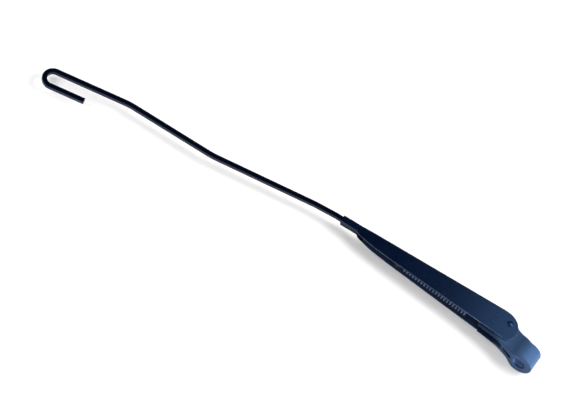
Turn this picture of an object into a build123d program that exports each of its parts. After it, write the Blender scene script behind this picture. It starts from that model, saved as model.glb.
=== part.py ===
"""Windscreen wiper arm: cast head, pressed channel, bent rod with a hook, rivet, spring and pin.

Millimetres. The origin is on the spindle axis, in the underside of the head's boss.
+Z points away from the glass, +X from the hook towards the head, and the arm lifts about Y.
"""

import os
from math import cos, sin, tau

from build123d import *

# Head
BOSS_R = 13.1
BOSS_TOP = 18.9
SEAT_R = 6.0
SEAT_DEPTH = 12.0
MOUTH_FLARE = 0.5
STUD_R = 4.2
NUT_SEAT_R = 8.6
NUT_SEAT_Z = 16.5
NECK_HALF = 7.4
TAIL_TAPER = 0.9
TAIL_X = -50.0
FORK_GAP = 8.0
HEAD_EDGE = 0.9
FLARE_R = 22.0
HEAD_ROUND = 7.0
HEAD_UNDER = [(-7.5, 0.0), (-16.0, 3.8), (-28.0, 7.9), (-54.0, 11.2)]
HEAD_OVER = [(-23.9, 32.0), (-14.0, 26.0), (1.0, BOSS_TOP)]
TAIL_LEVEL = 9.0
POCKET = [(-20.4, 1.5), (-9.6, 2.7)]
POCKET_R = 1.0
POCKET_TOP = 12.0
PIVOT_X = -25.9
PIVOT_Z = 26.1
PIN_X = -27.0
PIN_Z = 14.1
PIN_R = 1.75
PIN_SINK = 0.4

# Channel
SHEET = 1.4
WEB_END_X = -33.5
WEB_Z = 37.4
WEB_RISE = 0.0176
SIDE_FIT = 0.32
TAPER = 0.0585
BEND_R = 2.2
EDGE_Z_AT_LOBE = 10.9
EDGE_RISE = 0.1041
LOBE_START_X = -42.0
LOBE = [(-6.1, 10.0), (1.7, 7.3), (7.6, 2.0), (10.2, -5.9), (8.2, -13.4)]
LOBE_TOE_X = -24.5
EDGE_X = -30.0
COLLAR_X = -210.0
COLLAR_INNER_X = -192.0
SHOULDER_X = -178.0
SHOULDER = [(-164.0, 25.1), (-175.0, 26.8), (-183.0, 28.7)]
EDGE_BEND_X = -150.0
SEAM = 0.5
OVERSIZE = 8.0

# Rod
ROD_WIDE = 4.6
ROD_THICK = 4.7
ROD_EDGE = 0.5
ROD_FIT = 0.05
TAIL_LEG_X = -143.3
TAIL_LEG_Z = 23.6
ROD_BENDS = [4.2, 30.0, 60.0, 60.0, 60.0]
BENDS = [(-217.0, None), (-238.3, 36.0), (-342.7, 25.4), (-432.7, 27.75)]
HOOK_X = -505.4
HOOK_Z = 18.6
HOOK_R = 8.2
HOOK_LEG = 34.8

# Rivet and spring
RIVET_R = 2.5
RIVET_HEAD_R = 3.2
RIVET_HEAD_H = 1.1
RIVET_RIM = 0.4
RIVET_FLAT_R = 2.1
RUN_FIT = 0.05
RIVET_FIT = 0.01
WIRE_R = 0.85
COIL_R = 2.8
COILS = 21.75
TURN_STEPS = 8
PITCH = 3.28
COIL_START = 38.6
LOOP_Z = 27.6
LOOP_SLACK = 1.4


TALL = 2 * WEB_Z
WIDE = 4 * NECK_HALF


def side_cut(outline, half=WIDE):
    """A profile drawn in X and Z, pushed out both ways along Y."""
    return extrude(Plane.XZ * make_face(outline), amount=half, both=True)


def cross_bar(x, z, r, length):
    """A round bar across the arm, centred on Y = 0."""
    return Pos(x, 0, z) * Rot(90, 0, 0) * Cylinder(r, length)


def web_top(x):
    return WEB_Z + WEB_RISE * (WEB_END_X - x)


def channel_half(x):
    return NECK_HALF + SIDE_FIT + SHEET + 0.5 * TAPER * (x - PIVOT_X)


def free_edge(x):
    return EDGE_Z_AT_LOBE + EDGE_RISE * (EDGE_X - x)


# Head: plan and side profiles crossed, then the fork, the core pocket and the spindle seat
tail_half = NECK_HALF - TAIL_TAPER
neck = make_face(
    Polyline(
        (TAIL_X, -tail_half), (PIVOT_X, -NECK_HALF), (0, -NECK_HALF),
        (0, NECK_HALF), (PIVOT_X, NECK_HALF), (TAIL_X, tail_half), close=True,
    )
)
plan = neck + Circle(BOSS_R)
flare = plan.vertices().filter_by(lambda v: PIVOT_X < v.X < 0 and abs(abs(v.Y) - NECK_HALF) < 0.01)
plan = fillet(flare, radius=FLARE_R)
stop_drop = SHEET + RUN_FIT
nose_x, tail_x = 2 * BOSS_R, HEAD_UNDER[-1][0]
level_x = TAIL_X + TAIL_LEVEL
head_side = make_face(
    Polyline(
        (nose_x, 0), *HEAD_UNDER, (tail_x, web_top(tail_x) - stop_drop),
        (level_x, web_top(level_x) - stop_drop), *HEAD_OVER, (nose_x, BOSS_TOP), close=True,
    )
)
inner = head_side.vertices().filter_by(lambda v: TAIL_X < v.X < BOSS_R)
head_side = fillet(inner, radius=HEAD_ROUND)
arm_head = extrude(plan, TALL) & side_cut(head_side)
straight_up = arm_head.edges().filter_by(Axis.Y) + arm_head.edges().filter_by(Axis.Z)
rims = [e for e in arm_head.edges() if e not in straight_up]
lower = [e for e in rims if e.center().Z < BOSS_TOP / 2 - e.center().X / 4]
arm_head = fillet(lower, HEAD_EDGE)
straight_up = arm_head.edges().filter_by(Axis.Y) + arm_head.edges().filter_by(Axis.Z)
upper = [
    e for e in arm_head.edges()
    if e not in straight_up and e.center().Z > BOSS_TOP * 0.6 - e.center().X / 4
]
arm_head = chamfer(upper, HEAD_EDGE)

arm_head -= Pos((tail_x + PIVOT_X) / 2, 0, 0) * Box(PIVOT_X - tail_x, FORK_GAP, 2 * TALL)
arm_head -= Pos(PIVOT_X, 0, 0) * Cylinder(FORK_GAP / 2, 2 * TALL)
(left, left_half), (right, right_half) = POCKET
pocket = make_face(
    Polyline((left, -left_half), (right, -right_half), (right, right_half), (left, left_half), close=True)
)
pocket = fillet(pocket.vertices(), radius=POCKET_R)
arm_head -= extrude(pocket, POCKET_TOP)
arm_head -= Pos(0, 0, SEAT_DEPTH / 2) * Cylinder(SEAT_R, SEAT_DEPTH)
arm_head -= Pos(0, 0, MOUTH_FLARE / 2) * Cone(SEAT_R + MOUTH_FLARE, SEAT_R, MOUTH_FLARE)
arm_head -= Pos(0, 0, TALL / 2) * Cylinder(STUD_R, TALL)
arm_head -= Pos(0, 0, NUT_SEAT_Z + TALL / 2) * Cylinder(NUT_SEAT_R, TALL)
arm_head -= cross_bar(PIVOT_X, PIVOT_Z, RIVET_R + RUN_FIT, WIDE)
arm_head -= cross_bar(PIN_X, PIN_Z, PIN_R, WIDE)

spring_pin = cross_bar(PIN_X, PIN_Z, PIN_R, 2 * (NECK_HALF - PIN_SINK))

# Channel: one sheet folded in a U, trimmed to its side outline, with a floor under the collar
lobe = [(PIVOT_X + x, PIVOT_Z + z) for x, z in LOBE]
collar_half = ROD_WIDE / 2 + ROD_FIT + SHEET
floor_drop = SHEET + ROD_THICK + 2 * ROD_FIT


def folded(inset, bend):
    """The sheet's outer shape, or the hollow one sheet inside it, with its two long bends."""
    near, far = 0.0, COLLAR_X - OVERSIZE
    wide = [(near, channel_half(near) - inset), (SHOULDER_X, channel_half(SHOULDER_X) - inset)]
    slim = [(COLLAR_INNER_X, collar_half - inset), (far, collar_half - inset)]
    half_plan = [
        Line(*wide),
        Spline(wide[1], slim[0], tangents=[(-1, -TAPER / 2), (-1, 0)]),
        Line(*slim),
        Line(slim[1], (far, 0)),
        Line((far, 0), (near, 0)),
        Line((near, 0), wide[0]),
    ]
    half = make_face(half_plan)
    x0, x1 = far - OVERSIZE, near + OVERSIZE
    crown = Polyline((x0, 0), (x0, web_top(x0) - inset), (x1, web_top(x1) - inset), (x1, 0), close=True)
    shape = extrude(half + mirror(half, Plane.XZ), TALL) & side_cut(crown)
    top = shape.faces().sort_by(Axis.Z)[-1]
    return fillet([e for e in top.edges() if abs(e.center().Y) > ROD_WIDE / 4], bend)


def collar_low(x):
    return (x, web_top(x) - floor_drop - SHEET)


lobe_start = (LOBE_START_X, web_top(LOBE_START_X))
lobe_toe = (LOBE_TOE_X, free_edge(LOBE_TOE_X))
outline = Wire(
    [
        Line((COLLAR_X, TALL), (LOBE_START_X, TALL)),
        Line((LOBE_START_X, TALL), lobe_start),
        Spline(lobe_start, *lobe, lobe_toe, tangents=[(1, -WEB_RISE), (-1, EDGE_RISE)]),
        Line(lobe_toe, (EDGE_BEND_X, free_edge(EDGE_BEND_X))),
        Spline(
            (EDGE_BEND_X, free_edge(EDGE_BEND_X)), *SHOULDER, collar_low(COLLAR_INNER_X),
            tangents=[(-1, EDGE_RISE), (-0.5, 0.87)],
        ),
        Line(collar_low(COLLAR_INNER_X), collar_low(COLLAR_X)),
        Line(collar_low(COLLAR_X), (COLLAR_X, TALL)),
    ]
)
channel = (folded(0, BEND_R) - folded(SHEET, BEND_R - SHEET)) & side_cut(outline)
channel -= Pos(0, 0, WEB_Z) * Box(-2 * WEB_END_X, 2 * (channel_half(WEB_END_X) - SHEET), WEB_Z)
floor = Polyline(
    (COLLAR_X, web_top(COLLAR_X) - floor_drop), (COLLAR_INNER_X, web_top(COLLAR_INNER_X) - floor_drop),
    collar_low(COLLAR_INNER_X), collar_low(COLLAR_X), close=True,
)
channel += side_cut(floor, collar_half - BEND_R / 2)
seam_long = 2 * (COLLAR_INNER_X - COLLAR_X)
channel -= Pos(COLLAR_X, 0, collar_low(COLLAR_X)[1]) * Box(seam_long, SEAM, 2.5 * SHEET)
channel -= cross_bar(PIVOT_X, PIVOT_Z, RIVET_R + RIVET_FIT, WIDE)

# Rod: one bar swept along its centre line, from the leg inside the channel to the hook's tip
rod_drop = SHEET + ROD_FIT + ROD_THICK / 2
stations = [(TAIL_LEG_X, TAIL_LEG_Z), (TAIL_LEG_X, web_top(TAIL_LEG_X) - rod_drop)]
stations += [(x, web_top(x) - rod_drop if z is None else z) for x, z in BENDS]
straight = Vector(HOOK_X - BENDS[-1][0], 0, HOOK_Z - BENDS[-1][1]).normalized()
down = Vector(-straight.Z, 0, straight.X)
bend_0 = Vector(HOOK_X, 0, HOOK_Z)
centre = bend_0 + down * HOOK_R
bend_1 = centre + down * HOOK_R
rod_line = Wire(
    [
        *(Plane.XZ * FilletPolyline(*stations, (HOOK_X, HOOK_Z), radius=ROD_BENDS)).edges(),
        ThreePointArc(bend_0, centre + straight * HOOK_R, bend_1),
        Line(bend_1, bend_1 - straight * HOOK_LEG),
    ]
)


def bar(path, section):
    """A section swept along a path, square to it, with its width across the arm where it can be."""
    start, along = path @ 0, path % 0
    across = Vector(0, 1, 0) if abs(along.Y) < 0.5 else Vector(1, 0, 0)
    return sweep(Plane(start, x_dir=across, z_dir=along) * section, path=path)


rod_section = Rectangle(ROD_WIDE, ROD_THICK)
arm_rod = bar(rod_line, chamfer(rod_section.vertices(), ROD_EDGE))

# Rivet: a shank with two low heads
rivet_half = channel_half(PIVOT_X + RIVET_HEAD_R) + RIVET_FIT
rivet_end = [
    (RIVET_R, rivet_half), (RIVET_HEAD_R, rivet_half), (RIVET_HEAD_R, rivet_half + RIVET_RIM),
    (RIVET_FLAT_R, rivet_half + RIVET_HEAD_H), (0, rivet_half + RIVET_HEAD_H),
]
rivet_side = Polyline(*rivet_end, *((r, -y) for r, y in reversed(rivet_end)), close=True)
pivot_rivet = Pos(PIVOT_X, 0, PIVOT_Z) * revolve(make_face(rivet_side), Axis.Y)

# Spring: eye round the pin, straight shank, coils, and a long loop round the rod's inner leg
eye_r = PIN_R + WIRE_R + RUN_FIT
loop_r = ROD_WIDE / 2 + WIRE_R + RUN_FIT
anchor = Vector(PIN_X, 0, PIN_Z)
reach = Vector(TAIL_LEG_X - ROD_THICK / 2 - WIRE_R - LOOP_SLACK, 0, LOOP_Z) - anchor
axis = reach.normalized()
lift = Vector(-axis.Z, 0, axis.X) * -1
side_plane = Plane(anchor, x_dir=axis, z_dir=axis.cross(lift))
flat_plane = Plane(anchor, x_dir=axis, z_dir=lift)
wire = RegularPolygon(WIRE_R, 6)
coil_end = COIL_START + COILS * PITCH
steps = [i / TURN_STEPS for i in range(round(COILS * TURN_STEPS) + 1)]
turns = Polyline(*((COIL_R * cos(tau * t), -COIL_R * sin(tau * t), PITCH * t) for t in steps))
coil_path = Plane(anchor + axis * COIL_START, x_dir=lift, z_dir=axis) * turns
eye_path = side_plane * Wire(
    [
        CenterArc((0, 0), eye_r, -50, -220),
        Line((0, eye_r), (COIL_START, COIL_R)),
    ]
)
loop_path = flat_plane * Wire(
    [
        Line((coil_end, -loop_r), (reach.length - loop_r, -loop_r)),
        CenterArc((reach.length - loop_r, 0), loop_r, -90, 180),
        Line((reach.length - loop_r, loop_r), (coil_end + 2 * WIRE_R, loop_r)),
    ]
)
coil_start = Plane(coil_path @ 0, z_dir=coil_path % 0)
coils = sweep(coil_start * wire, path=coil_path, transition=Transition.RIGHT)
tension_spring = coils + bar(eye_path, wire) + bar(loop_path, wire)

os.makedirs("parts", exist_ok=True)
pieces = {
    "arm_head": arm_head,
    "spring_pin": spring_pin,
    "channel": channel,
    "arm_rod": arm_rod,
    "pivot_rivet": pivot_rivet,
    "tension_spring": tension_spring,
}
for name, shape in pieces.items():
    shape.label = name
    export_step(shape, f"parts/{name}.step")
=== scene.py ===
# %% [markdown]
# A wiper arm has few pieces, and nearly all are painted blue-black: a cast head that bolts to the
# wiper spindle, a folded steel channel that hinges on the head, a bent rod that ends in a hook, and
# a long spring hidden in the channel. The pin that holds the spring is plain steel. The solids
# already have the right shapes, so this scene gives them paint, light and a camera, and remakes the
# two pieces that want rounder forms: the spring's wire and the rivet's heads.

# %% Load the solids
import math

import bmesh
import bpy
from mathutils import Matrix, Vector


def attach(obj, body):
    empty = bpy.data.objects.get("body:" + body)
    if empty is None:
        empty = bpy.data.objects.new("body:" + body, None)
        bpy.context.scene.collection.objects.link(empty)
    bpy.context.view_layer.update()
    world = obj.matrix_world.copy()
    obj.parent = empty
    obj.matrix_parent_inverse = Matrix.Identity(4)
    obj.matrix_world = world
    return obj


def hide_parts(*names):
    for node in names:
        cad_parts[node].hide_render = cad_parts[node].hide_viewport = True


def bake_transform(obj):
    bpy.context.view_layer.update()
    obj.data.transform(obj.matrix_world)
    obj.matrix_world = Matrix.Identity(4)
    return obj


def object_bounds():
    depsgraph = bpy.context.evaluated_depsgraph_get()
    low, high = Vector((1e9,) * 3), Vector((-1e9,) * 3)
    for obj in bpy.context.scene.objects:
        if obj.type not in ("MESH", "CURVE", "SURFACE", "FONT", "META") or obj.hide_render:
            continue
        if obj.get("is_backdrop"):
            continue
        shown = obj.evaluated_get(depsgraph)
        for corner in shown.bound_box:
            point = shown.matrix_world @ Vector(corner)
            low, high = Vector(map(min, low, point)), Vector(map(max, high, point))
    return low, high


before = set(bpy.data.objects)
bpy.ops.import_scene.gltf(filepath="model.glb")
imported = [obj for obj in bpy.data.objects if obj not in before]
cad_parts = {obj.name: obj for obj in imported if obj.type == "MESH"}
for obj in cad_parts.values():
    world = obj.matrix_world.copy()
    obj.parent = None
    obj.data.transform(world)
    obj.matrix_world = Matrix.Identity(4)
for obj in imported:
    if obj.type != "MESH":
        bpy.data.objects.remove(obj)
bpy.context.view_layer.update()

# %% [markdown]
# The photograph looks at the arm lying on its side, from a long way off: parallel edges stay
# parallel. A long lens far away gives that flat look, and it keeps the outline steady. The three
# vectors right, up and back are the picture's right, its up, and the way back to the lens, in the
# arm's own axes.

# %% Camera
IMAGE_WIDE = 0.52545
LOOK_AT = Vector((-0.2580, 0.0, 0.0216))
DISTANCE, FAR_CLIP = 16.0, 100.0
SENSOR_MM = 36.0
PICTURE_RIGHT = Vector((0.8487, -0.1127, 0.5167))
PICTURE_UP = Vector((-0.4999, -0.498, 0.7086))
right = PICTURE_RIGHT.normalized()
back = right.cross(PICTURE_UP).normalized()
up = back.cross(right)
camera_turn = Matrix((right, up, back)).transposed().to_4x4()
camera = bpy.data.objects.new("camera", bpy.data.cameras.new("camera"))
bpy.context.scene.collection.objects.link(camera)
camera.matrix_world = Matrix.Translation(LOOK_AT + back * DISTANCE) @ camera_turn
camera.data.sensor_width = SENSOR_MM
camera.data.lens = SENSOR_MM * DISTANCE / IMAGE_WIDE
camera.data.clip_end = FAR_CLIP
bpy.context.scene.camera = camera
print("lens mm:", round(camera.data.lens), "back:", tuple(round(x, 3) for x in back))

# %% [markdown]
# The arm lies on white paper, so the floor is a sheet beside the arm, made from a grid of one face.
# The thick boss and the thin hook both rest near it, so it leans a little. It reaches high enough
# for the shadow of the lifted arm.

# %% Sheet of paper
def to_object(mesh, name):
    """Makes an object of a finished bmesh and puts it in the scene."""
    piece = bpy.data.objects.new(name, bpy.data.meshes.new(name))
    mesh.to_mesh(piece.data)
    mesh.free()
    bpy.context.scene.collection.objects.link(piece)
    return piece


PAPER_HALF_WIDE, PAPER_HALF_HIGH, PAPER_MIDDLE = 0.38, 0.50, (-0.261, 0.0, 0.15)
PAPER_AT_HEAD, PAPER_AT_HOOK, HOOK_AWAY = 0.0135, 0.0100, 0.505
UPRIGHT = Matrix.Rotation(math.radians(90), 3, "X")
lean = math.atan2(PAPER_AT_HEAD - PAPER_AT_HOOK, HOOK_AWAY)
paper_mesh = bmesh.new()
bmesh.ops.create_grid(paper_mesh, x_segments=1, y_segments=1, size=1.0)
bmesh.ops.scale(paper_mesh, verts=paper_mesh.verts, vec=(PAPER_HALF_WIDE, PAPER_HALF_HIGH, 1.0))
bmesh.ops.rotate(paper_mesh, verts=paper_mesh.verts, matrix=UPRIGHT)
bmesh.ops.translate(paper_mesh, verts=paper_mesh.verts, vec=PAPER_MIDDLE)
bmesh.ops.rotate(paper_mesh, verts=paper_mesh.verts, matrix=Matrix.Rotation(lean, 3, "Z"))
bmesh.ops.translate(paper_mesh, verts=paper_mesh.verts, vec=(0.0, PAPER_AT_HEAD, 0.0))
paper = to_object(paper_mesh, "paper")
paper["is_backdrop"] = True
print("paper leans", round(math.degrees(lean), 2), "degrees")

# %% [markdown]
# Paper that is only lit never reaches pure white, so camera and gloss rays also see some light of
# its own. The rest of its brightness is real, which keeps the shadow. The sheet is clear from
# behind, so the far side of the arm can be looked at too.

# %% White of the paper
def new_material(name):
    material = bpy.data.materials.new(name)
    material.use_nodes = True
    material.node_tree.nodes.clear()
    return material, material.node_tree.nodes, material.node_tree.links


def maths(tree, operation, a, b):
    node = tree.nodes.new("ShaderNodeMath")
    node.operation = operation
    for index, source in enumerate((a, b)):
        if isinstance(source, (int, float)):
            node.inputs[index].default_value = source
        else:
            tree.links.new(source, node.inputs[index])
    return node.outputs[0]


def rays_seen_directly(tree):
    """Two values: 1 for camera, gloss and transmission rays, and 1 for camera rays alone."""
    light_path = tree.nodes.new("ShaderNodeLightPath")
    by_camera = light_path.outputs["Is Camera Ray"]
    seen = maths(tree, "MAXIMUM", by_camera, light_path.outputs["Is Glossy Ray"])
    return maths(tree, "MAXIMUM", seen, light_path.outputs["Is Transmission Ray"]), by_camera


PAPER_TONE, PAPER_GLOW = (0.93, 0.93, 0.93, 1), 0.25
material, nodes, links = new_material("white_paper")
output = nodes.new("ShaderNodeOutputMaterial")
lit = nodes.new("ShaderNodeBsdfDiffuse")
lit.inputs["Color"].default_value = PAPER_TONE
glow = nodes.new("ShaderNodeEmission")
seen = rays_seen_directly(material.node_tree)[0]
both = nodes.new("ShaderNodeMixShader")
links.new(maths(material.node_tree, "MULTIPLY", seen, PAPER_GLOW), both.inputs[0])
links.new(lit.outputs[0], both.inputs[1])
links.new(glow.outputs[0], both.inputs[2])
clear = nodes.new("ShaderNodeBsdfTransparent")
side = nodes.new("ShaderNodeNewGeometry")
sided = nodes.new("ShaderNodeMixShader")
links.new(side.outputs["Backfacing"], sided.inputs[0])
links.new(both.outputs[0], sided.inputs[1])
links.new(clear.outputs[0], sided.inputs[2])
links.new(sided.outputs[0], output.inputs["Surface"])
paper.data.materials.append(material)
print("paper:", len(nodes), "nodes")

# %% [markdown]
# The room is white to the camera, as the ground of the photograph is. In reflections it fades to
# dark overhead, so that glossy paint has something to show. On matt surfaces it shines only weakly,
# which leaves the shadow to the lamps.

# %% Surroundings
def spread(tree, value, low, high, to_low, to_high):
    node = tree.nodes.new("ShaderNodeMapRange")
    for label, number in zip(("From Min", "From Max", "To Min", "To Max"), (low, high, to_low, to_high)):
        node.inputs[label].default_value = number
    tree.links.new(value, node.inputs["Value"])
    return node.outputs["Result"]


def split(tree, position):
    node = tree.nodes.new("ShaderNodeSeparateXYZ")
    tree.links.new(position, node.inputs[0])
    return node.outputs


ROOM_LIGHT = 0.30
FADE_FROM, FADE_TO, OVERHEAD = 0.10, 0.30, 0.05
world = bpy.data.worlds.new("studio")
bpy.context.scene.world = world
world.use_nodes = True
sky = world.node_tree
sky.nodes.clear()
output = sky.nodes.new("ShaderNodeOutputWorld")
direction = sky.nodes.new("ShaderNodeTexCoord")
height = split(sky, direction.outputs["Generated"])["Z"]
fade = spread(sky, height, FADE_FROM, FADE_TO, 1.0, OVERHEAD)
seen, by_camera = rays_seen_directly(sky)
studio = sky.nodes.new("ShaderNodeBackground")
sky.links.new(maths(sky, "MAXIMUM", fade, by_camera), studio.inputs["Color"])
sky.links.new(spread(sky, seen, 0.0, 1.0, ROOM_LIGHT, 1.0), studio.inputs["Strength"])
sky.links.new(studio.outputs[0], output.inputs["Surface"])
bpy.context.scene.view_settings.view_transform = "Standard"
print("room:", len(sky.nodes), "nodes")

# %% [markdown]
# Black paint shows little but reflections, so the lamps are placed by what mirrors them. A large
# soft lamp stands in front and to the right, and throws the shadow down and to the left. A small
# one is mirrored in the flat flange only near the head, which makes the flange fade from dark to
# blue. A narrow lamp, and a spot on the paper beside the nose, draw the bright band round the nose.
# Two weak lamps open the shadows at the hook and under the head.

# %% Lamps
def new_lamp(name, kind, place, target, power):
    lamp = bpy.data.objects.new(name, bpy.data.lights.new(name, kind))
    bpy.context.scene.collection.objects.link(lamp)
    lamp.data.energy = power
    aim = (Vector(target) - Vector(place)).to_track_quat("-Z", "Y")
    lamp.matrix_world = Matrix.Translation(place) @ aim.to_matrix().to_4x4()
    return lamp


# Each soft lamp's place, the point it looks at, its width and height, and its power in watts
SOFT_LAMPS = {
    "key": ((1.90, -1.89, 0.99), (-0.2, 0.0, 0.0), 1.9, 1.9, 128.0),
    "flange_lamp": ((0.01, -0.35, 0.22), (0.0, 0.0, 0.03), 0.28, 0.20, 1.22),
    "side_lamp": ((0.70, 0.004, -0.10), (0.01, 0.0, 0.01), 0.012, 0.16, 11.0),
    "hook_fill": ((-0.72, -0.30, -0.15), (-0.48, 0.0, 0.02), 0.20, 0.20, 1.3),
    "low_fill": ((0.10, -0.12, -0.25), (0.0, 0.0, 0.01), 0.10, 0.10, 0.4),
}
WARM = (1.0, 0.92, 0.88)
for name, (place, target, wide, high, power) in SOFT_LAMPS.items():
    lamp = new_lamp(name, "AREA", place, target, power)
    lamp.data.shape = "RECTANGLE"
    lamp.data.size, lamp.data.size_y = wide, high
    lamp.visible_camera = False
bpy.data.lights["flange_lamp"].color = WARM

SPOT_FROM, SPOT_TO, SPOT_POWER = (0.30, -0.35, 0.25), (0.047, PAPER_AT_HEAD, 0.034), 18.0
SPOT_ANGLE, SPOT_BLEND = math.radians(6.6), 0.5
bounce = new_lamp("paper_bounce", "SPOT", SPOT_FROM, SPOT_TO, SPOT_POWER)
bounce.data.spot_size, bounce.data.spot_blend = SPOT_ANGLE, SPOT_BLEND

# %% [markdown]
# Paint on metal is never a flat colour. It clouds a little in tone, it has a fine orange-peel skin,
# and dust dulls the shine in patches. Every painted piece shares these, so they live in one node
# group with its own numbers for each piece. Three-dimensional noise on Object coordinates needs
# no unwrapping and runs on unbroken round corners.

# %% Paint skin
def group_tree(name, inputs, outputs):
    tree = bpy.data.node_groups.new(name, "ShaderNodeTree")
    for label, kind, value in inputs:
        socket = tree.interface.new_socket(label, in_out="INPUT", socket_type=kind)
        socket.default_value = value
    for label, kind in outputs:
        tree.interface.new_socket(label, in_out="OUTPUT", socket_type=kind)
    return tree, tree.nodes.new("NodeGroupInput"), tree.nodes.new("NodeGroupOutput")


def noise(tree, position, scale, detail):
    node = tree.nodes.new("ShaderNodeTexNoise")
    node.inputs["Detail"].default_value = detail
    tree.links.new(position, node.inputs["Vector"])
    if isinstance(scale, (int, float)):
        node.inputs["Scale"].default_value = scale
    else:
        tree.links.new(scale, node.inputs["Scale"])
    return node.outputs["Fac"]


# The Mix node has sockets for each kind of data, and these are its places for colours
MIX_FACTOR, MIX_A, MIX_B, MIX_RESULT = 0, 6, 7, 2


def mix_color(tree, fac, a, b):
    node = tree.nodes.new("ShaderNodeMix")
    node.data_type = "RGBA"
    for index, source in ((MIX_FACTOR, fac), (MIX_A, a), (MIX_B, b)):
        if isinstance(source, tuple):
            node.inputs[index].default_value = source
        else:
            tree.links.new(source, node.inputs[index])
    return node.outputs[MIX_RESULT]


FLOAT, COLOR, VECTOR = "NodeSocketFloat", "NodeSocketColor", "NodeSocketVector"
paint_skin, given, made = group_tree(
    "paint_skin",
    [
        ("Position", VECTOR, (0, 0, 0)),
        ("Deep", COLOR, (0.003, 0.008, 0.024, 1)),
        ("Pale", COLOR, (0.006, 0.013, 0.034, 1)),
        ("Base Roughness", FLOAT, 0.36),
        ("Peel", FLOAT, 900.0),
    ],
    [("Color", COLOR), ("Roughness", FLOAT), ("Height", FLOAT)],
)
CLOUD_SCALE, CLOUD_DETAIL, CLOUD_RANGE = 45.0, 3.0, (0.35, 0.65)
DUST_SCALE, DUST_DETAIL, DUST_RANGE = 160.0, 5.0, (0.45, 0.75)
DUST_DULLS = (-0.01, 0.015)
PEEL_DETAIL = 2.0
position = given.outputs["Position"]
cloud = spread(paint_skin, noise(paint_skin, position, CLOUD_SCALE, CLOUD_DETAIL), *CLOUD_RANGE, 0.0, 1.0)
dust = spread(paint_skin, noise(paint_skin, position, DUST_SCALE, DUST_DETAIL), *DUST_RANGE, *DUST_DULLS)
peel = noise(paint_skin, position, given.outputs["Peel"], PEEL_DETAIL)
tone = mix_color(paint_skin, cloud, given.outputs["Deep"], given.outputs["Pale"])
paint_skin.links.new(tone, made.inputs["Color"])
dusty = maths(paint_skin, "ADD", given.outputs["Base Roughness"], dust)
paint_skin.links.new(dusty, made.inputs["Roughness"])
paint_skin.links.new(peel, made.inputs["Height"])
print("paint skin:", len(paint_skin.nodes), "nodes")

# %% [markdown]
# Some places get a tone of their own from a mask, and these tones are painted light and shade. The spindle's
# bore and the channel's inside are painted paler, as painted light in recesses that the lamps leave dark. The
# head's cheeks under the channel are painted darker, as painted shade. The sheet's cut edges are painted
# paler, as a painted highlight that is brightest at the round end by the pivot. A painted map could hold the
# masks. They come from Object coordinates instead, because these places lie at known sizes.

# %% Places with their own tone
BORE_R, BORE_MOUTH, BORE_END = 0.00605, 0.0016, 0.0121
FORK_FULL_X, FORK_ENDS_X = -0.034, -0.025
# The channel's inside at the spindle's axis, with its change for each metre of x
INNER_HALF, NARROWS = 0.00918, 0.0293
UNDER_ROOF, EDGES_TOP, ROOF_SLOPE = 0.0361, 0.0335, -0.0176
OPEN_END_X = -0.185
SIDEWAYS_FROM = 0.4
ROUND_FROM_X, ROUND_FULL_X = -0.080, -0.045


def all_of(tree, first, *others):
    for other in others:
        first = maths(tree, "MULTIPLY", first, other)
    return first


def sloped(tree, x, slope, at_spindle):
    return maths(tree, "ADD", maths(tree, "MULTIPLY", x, slope), at_spindle)


def bore_painted_light(tree, position):
    """1 on the wall and end of the spindle's bore past its mouth, 0 elsewhere. The wall is painted paler
    there: painted light in a recess that the lamps leave dark.
    """
    x, y, z = split(tree, position)
    across = maths(tree, "ADD", maths(tree, "MULTIPLY", x, x), maths(tree, "MULTIPLY", y, y))
    in_bore = maths(tree, "LESS_THAN", across, BORE_R ** 2)
    past_mouth = maths(tree, "GREATER_THAN", z, BORE_MOUTH)
    before_end = maths(tree, "LESS_THAN", z, BORE_END)
    return all_of(tree, in_bore, past_mouth, before_end)


def fork_painted_shade(tree, position):
    """1 on the head's two cheeks, which the channel covers, 0 on the neck and boss. The cheeks are painted
    darker there: painted shade under the channel.
    """
    return spread(tree, split(tree, position)["X"], FORK_FULL_X, FORK_ENDS_X, 1.0, 0.0)


def channel_inside_painted_light(tree, position):
    """1 on the inner faces of the folded sheet, which narrows along the arm as its roof rises. The inside is
    painted paler there: painted light where the lamps leave it dark.
    """
    x, y, z = split(tree, position)
    half = sloped(tree, x, NARROWS, INNER_HALF)
    between = maths(tree, "LESS_THAN", maths(tree, "ABSOLUTE", y, 0.0), half)
    under = maths(tree, "LESS_THAN", z, sloped(tree, x, ROOF_SLOPE, UNDER_ROOF))
    open_part = maths(tree, "GREATER_THAN", x, OPEN_END_X)
    return all_of(tree, between, under, open_part)


def cut_edges_painted_highlight(tree, position):
    """1 on the sheet's cut edges below the roof, found by faces that do not look sideways. The edges are
    painted paler there: a painted highlight along them.
    """
    x, _, z = split(tree, position)
    under = maths(tree, "LESS_THAN", z, sloped(tree, x, ROOF_SLOPE, EDGES_TOP))
    open_part = maths(tree, "GREATER_THAN", x, OPEN_END_X)
    facing = tree.nodes.new("ShaderNodeNewGeometry")
    sideways = maths(tree, "ABSOLUTE", split(tree, facing.outputs["True Normal"])["Y"], 0.0)
    edge_face = maths(tree, "LESS_THAN", sideways, SIDEWAYS_FROM)
    return all_of(tree, edge_face, under, open_part)


def round_end_painted_highlight(tree, position):
    """1 on the flange's cut edge by the pivot, 0 along the arm. The edge is painted paler there: a painted
    highlight, brighter than along the arm.
    """
    near_pivot = spread(tree, split(tree, position)["X"], ROUND_FROM_X, ROUND_FULL_X, 0.0, 1.0)
    return all_of(tree, cut_edges_painted_highlight(tree, position), near_pivot)


print("places:", [mask.__name__ for mask in (bore_painted_light, fork_painted_shade, channel_inside_painted_light, cut_edges_painted_highlight, round_end_painted_highlight)])

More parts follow.
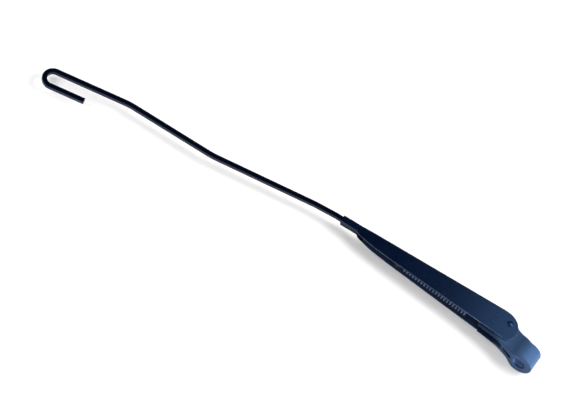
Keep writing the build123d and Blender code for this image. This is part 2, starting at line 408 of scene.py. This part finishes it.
# %% [markdown]
# The pieces differ in what lies under the paint. The casting is a little grainy, the pressed sheet
# is smooth, the drawn rod is the glossiest, and the spring wire has a thin coat. Each could have a
# material of its own from scratch, but one function makes them all from the shared skin, with the
# piece's own tones, roughness and bump, so they stay one family.

# %% Painted finishes
BLUE_GLINT, PAINT_IOR, PEEL_DEEP = (0.16, 0.42, 1.0, 1), 1.5, 0.0001


def painted(name, deep, pale, rough, peel_scale, bump, shine=0.5, places=()):
    """places holds pairs: a function that makes a mask, and the tone the paint has there."""
    material, nodes, links = new_material(name)
    output = nodes.new("ShaderNodeOutputMaterial")
    paint = nodes.new("ShaderNodeBsdfPrincipled")
    paint.inputs["Specular Tint"].default_value = BLUE_GLINT
    paint.inputs["Specular IOR Level"].default_value = shine
    paint.inputs["IOR"].default_value = PAINT_IOR
    where = nodes.new("ShaderNodeTexCoord")
    skin = nodes.new("ShaderNodeGroup")
    skin.node_tree = paint_skin
    skin.inputs["Deep"].default_value = (*deep, 1)
    skin.inputs["Pale"].default_value = (*pale, 1)
    skin.inputs["Base Roughness"].default_value = rough
    skin.inputs["Peel"].default_value = peel_scale
    links.new(where.outputs["Object"], skin.inputs["Position"])
    relief = nodes.new("ShaderNodeBump")
    relief.inputs["Strength"].default_value = bump
    relief.inputs["Distance"].default_value = PEEL_DEEP
    links.new(skin.outputs["Height"], relief.inputs["Height"])
    color = skin.outputs["Color"]
    for place_mask, tone in places:
        mask = place_mask(material.node_tree, where.outputs["Object"])
        color = mix_color(material.node_tree, mask, color, (*tone, 1))
    links.new(color, paint.inputs["Base Color"])
    links.new(skin.outputs["Roughness"], paint.inputs["Roughness"])
    links.new(relief.outputs["Normal"], paint.inputs["Normal"])
    links.new(paint.outputs[0], output.inputs["Surface"])
    return material


def dress(node, finish):
    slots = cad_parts[node].data.materials
    slots.clear()
    slots.append(finish)


SHEET_DEEP, SHEET_PALE = (0.0004, 0.0020, 0.0095), (0.0006, 0.0026, 0.0115)
finishes = {
    "arm_head": painted(
        "head_paint", (0.022, 0.046, 0.098), (0.026, 0.053, 0.112),
        rough=0.45, peel_scale=700.0, bump=0.30, shine=0.08,
        # The bore's pale tone is painted light in a recess the lamps leave dark; the cheeks' dark tone is
        # painted shade under the channel.
        places=[(bore_painted_light, (0.12, 0.20, 0.40)), (fork_painted_shade, (0.008, 0.018, 0.046))],
    ),
    "channel": painted(
        "channel_paint", SHEET_DEEP, SHEET_PALE,
        rough=0.28, peel_scale=2500.0, bump=0.05, shine=0.32,
        places=[
            # The inside's pale tone is painted light, and the cut edges' paler tones are painted highlights,
            # brightest at the round end by the pivot.
            (channel_inside_painted_light, (0.018, 0.033, 0.075)),
            (cut_edges_painted_highlight, (0.010, 0.022, 0.050)),
            (round_end_painted_highlight, (0.075, 0.125, 0.22)),
        ],
    ),
    "arm_rod": painted(
        "rod_paint", (0.0001, 0.0005, 0.0035), (0.0003, 0.0009, 0.0050),
        rough=0.24, peel_scale=1100.0, bump=0.10, shine=0.30,
    ),
    "pivot_rivet": painted(
        "rivet_paint", SHEET_DEEP, SHEET_PALE,
        rough=0.32, peel_scale=2500.0, bump=0.05,
    ),
    "tension_spring": painted(
        "spring_paint", (0.060, 0.085, 0.150), (0.075, 0.100, 0.170),
        rough=0.30, peel_scale=1400.0, bump=0.10,
    ),
}
for node, finish in finishes.items():
    dress(node, finish)
print("painted:", sorted(finishes))

# %% [markdown]
# The pin that holds the spring's eye is plain steel, pressed through the head and dulled with age.
# Fine lines run round it from turning, so its noise is squeezed along the pin. An image of turned
# steel would need unwrapping, and noise does not.

# %% Pin steel
LINE_SCALE, LINE_DETAIL, LINES_CLOSER = 500.0, 4.0, (1.0, 12.0, 1.0)
LINE_RANGE, STEEL_ROUGH = (0.3, 0.7), (0.28, 0.50)
STAIN_SCALE, STAIN_DETAIL = 250.0, 3.0
STEEL_DARK, STEEL_PALE = (0.10, 0.11, 0.12, 1), (0.30, 0.31, 0.33, 1)
material, nodes, links = new_material("pin_steel")
tree = material.node_tree
output = nodes.new("ShaderNodeOutputMaterial")
steel = nodes.new("ShaderNodeBsdfPrincipled")
steel.inputs["Metallic"].default_value = 1.0
where = nodes.new("ShaderNodeTexCoord")
squeeze = nodes.new("ShaderNodeMapping")
squeeze.inputs["Scale"].default_value = LINES_CLOSER
links.new(where.outputs["Object"], squeeze.inputs["Vector"])
lines = noise(tree, squeeze.outputs["Vector"], LINE_SCALE, LINE_DETAIL)
stain = noise(tree, where.outputs["Object"], STAIN_SCALE, STAIN_DETAIL)
links.new(mix_color(tree, stain, STEEL_DARK, STEEL_PALE), steel.inputs["Base Color"])
links.new(spread(tree, lines, *LINE_RANGE, *STEEL_ROUGH), steel.inputs["Roughness"])
links.new(steel.outputs[0], output.inputs["Surface"])
dress("spring_pin", material)
print("pin steel:", len(nodes), "nodes")

# %% [markdown]
# The rivet's shank is squeezed until its two ends spread into low domes, which hold the flanges and
# still let the arm swing. A dome is a short arc turned about the rivet's axis, so a few points of
# the arc and one spin make it, and a mirror makes the other head. The dome's slope catches the
# large lamp in one small dot.

# %% Rivet heads
RIVET_AT = Vector((-0.0259, 0.0, 0.0261))
SHANK_R = 0.0025
DOME_R, DOME_HIGH, DOME_FOOT = 0.0032, 0.0013, 0.00922
ARC_STEPS, ROUND_STEPS = 6, 32
SAME_POINT, CREASE = 0.00002, math.radians(30)
ball_r = (DOME_R ** 2 + DOME_HIGH ** 2) / (2 * DOME_HIGH)
rim_angle = math.asin(DOME_R / ball_r)
rivet_mesh = bmesh.new()
arc = []
for i in range(ARC_STEPS + 1):
    angle = rim_angle * i / ARC_STEPS
    below_tip = ball_r * (1 - math.cos(angle))
    arc.append(rivet_mesh.verts.new((ball_r * math.sin(angle), -DOME_FOOT - DOME_HIGH + below_tip, 0)))
arc.append(rivet_mesh.verts.new((SHANK_R, -DOME_FOOT, 0)))
arc.append(rivet_mesh.verts.new((SHANK_R, 0, 0)))
profile = [rivet_mesh.edges.new(pair) for pair in zip(arc, arc[1:])]
bmesh.ops.spin(
    rivet_mesh, geom=arc + profile, cent=(0, 0, 0), axis=(0, 1, 0),
    angle=math.tau, steps=ROUND_STEPS, use_merge=True,
)
half = rivet_mesh.verts[:] + rivet_mesh.edges[:] + rivet_mesh.faces[:]
bmesh.ops.mirror(rivet_mesh, geom=half, axis="Y")
bmesh.ops.remove_doubles(rivet_mesh, verts=rivet_mesh.verts, dist=SAME_POINT)
bmesh.ops.translate(rivet_mesh, verts=rivet_mesh.verts, vec=RIVET_AT)
bmesh.ops.recalc_face_normals(rivet_mesh, faces=rivet_mesh.faces)
for face in rivet_mesh.faces:
    face.smooth = True
for edge in rivet_mesh.edges:
    edge.smooth = edge.calc_face_angle(0) < CREASE
print("rivet:", len(rivet_mesh.faces), "faces, open edges:", sum(not e.is_manifold for e in rivet_mesh.edges))
rivet = to_object(rivet_mesh, "domed_rivet")
rivet.data.materials.append(finishes["pivot_rivet"])
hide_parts("pivot_rivet")
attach(rivet, "arm")

# %% [markdown]
# The spring is one length of round wire: an eye round the pin, a straight shank, a row of coils,
# and a loop round the rod's inner leg. A curve with a bevel could follow it, but spinning the wire's own
# round section is closer to how it is wound. Each spin or extrusion starts where the last one
# stopped, so the wire never breaks. Local axes are used: s runs along the spring, y across it and
# n out of its top.

# %% Spring wire
WIRE_R, COIL_R, PITCH, COILS = 0.00085, 0.0028, 0.00328, 21.75
EYE_R, BEND_R, LOOP_R = 0.00265, 0.0014, 0.0032
COIL_FROM = 0.0386
PIN, LOOP_TIP = Vector((-0.0270, 0.0, 0.0141)), Vector((-0.14790, 0.0, 0.0276))
TAIL_ANGLE, EYE_ANGLE = math.radians(-50), math.radians(220)
SECTION_STEPS, EYE_STEPS, BEND_STEPS, TURN_STEPS, LOOP_STEPS = 12, 22, 6, 28, 14
S, Y, N = Vector((1, 0, 0)), Vector((0, 1, 0)), Vector((0, 0, 1))
along = (LOOP_TIP - PIN).normalized()
top = Vector((along.z, 0.0, -along.x))
loop_end = (LOOP_TIP - PIN).length - LOOP_R

wire = bmesh.new()
bmesh.ops.create_circle(wire, segments=SECTION_STEPS, radius=WIRE_R, cap_ends=True)
tail_turn = Matrix.Rotation(TAIL_ANGLE, 3, "Y").inverted()
tail_at = (EYE_R * math.cos(TAIL_ANGLE), BEND_R, EYE_R * math.sin(TAIL_ANGLE))
bmesh.ops.rotate(wire, verts=wire.verts, matrix=tail_turn)
bmesh.ops.translate(wire, verts=wire.verts, vec=tail_at)
tail_face = wire.faces[:]


def spin_on(faces, centre, axis, angle, steps, rise=Vector()):
    """Turns the wire's end about an axis; rise moves it at each step, which makes a coil."""
    grown = bmesh.ops.spin(
        wire, geom=faces, cent=centre, axis=axis, angle=angle, steps=steps, dvec=rise, use_duplicate=False
    )
    return [g for g in grown["geom_last"] if isinstance(g, bmesh.types.BMFace)]


def run_on(faces, move):
    """Pushes the wire's end straight on."""
    grown = bmesh.ops.extrude_face_region(wire, geom=faces)["geom"]
    verts = [g for g in grown if isinstance(g, bmesh.types.BMVert)]
    bmesh.ops.translate(wire, verts=verts, vec=move)
    return [g for g in grown if isinstance(g, bmesh.types.BMFace)]


def end_middle(faces):
    return faces[0].calc_center_median()


def in_mm(point):
    return [round(1000 * x, 2) for x in point]


end = spin_on(tail_face, Vector((0, BEND_R, 0)), Y, EYE_ANGLE, EYE_STEPS)
print("eye ends at", in_mm(end_middle(end)))
end = run_on(end, Vector((COIL_FROM - BEND_R, 0, COIL_R - EYE_R)))
end = spin_on(end, Vector((COIL_FROM - BEND_R, 0, COIL_R)), N, math.radians(-90), BEND_STEPS)
print("coil starts at", in_mm(end_middle(end)))
rise = S * (PITCH / TURN_STEPS)
end = spin_on(end, Vector((0, 0, 0)), S, COILS * math.tau, round(COILS * TURN_STEPS), rise)
print("coil ends at", in_mm(end_middle(end)))
end = spin_on(end, end_middle(end) + S * BEND_R, Y, math.radians(90), BEND_STEPS)
loop_from = end_middle(end)
end = run_on(end, Vector((loop_end, LOOP_R, 0)) - loop_from)
end = spin_on(end, Vector((loop_end, 0, 0)), N, math.radians(-180), LOOP_STEPS)
end = run_on(end, S * (loop_from.x + 2 * WIRE_R - loop_end))
print("loop ends at", in_mm(end_middle(end)))
to_arm = Matrix((along, Y, top)).transposed().to_4x4()
bmesh.ops.transform(wire, verts=wire.verts, matrix=Matrix.Translation(PIN) @ to_arm)
bmesh.ops.recalc_face_normals(wire, faces=wire.faces)
for face in wire.faces:
    is_end_cap = len(face.verts) == SECTION_STEPS
    face.smooth = not is_end_cap
spring = to_object(wire, "spring_wire")
spring.data.materials.append(finishes["tension_spring"])
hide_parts("tension_spring")
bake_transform(spring)
print("spring:", len(spring.data.polygons), "faces")

# %% [markdown]
# The last cell measures how large the dressed arm is.

# %% Finish
low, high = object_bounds()
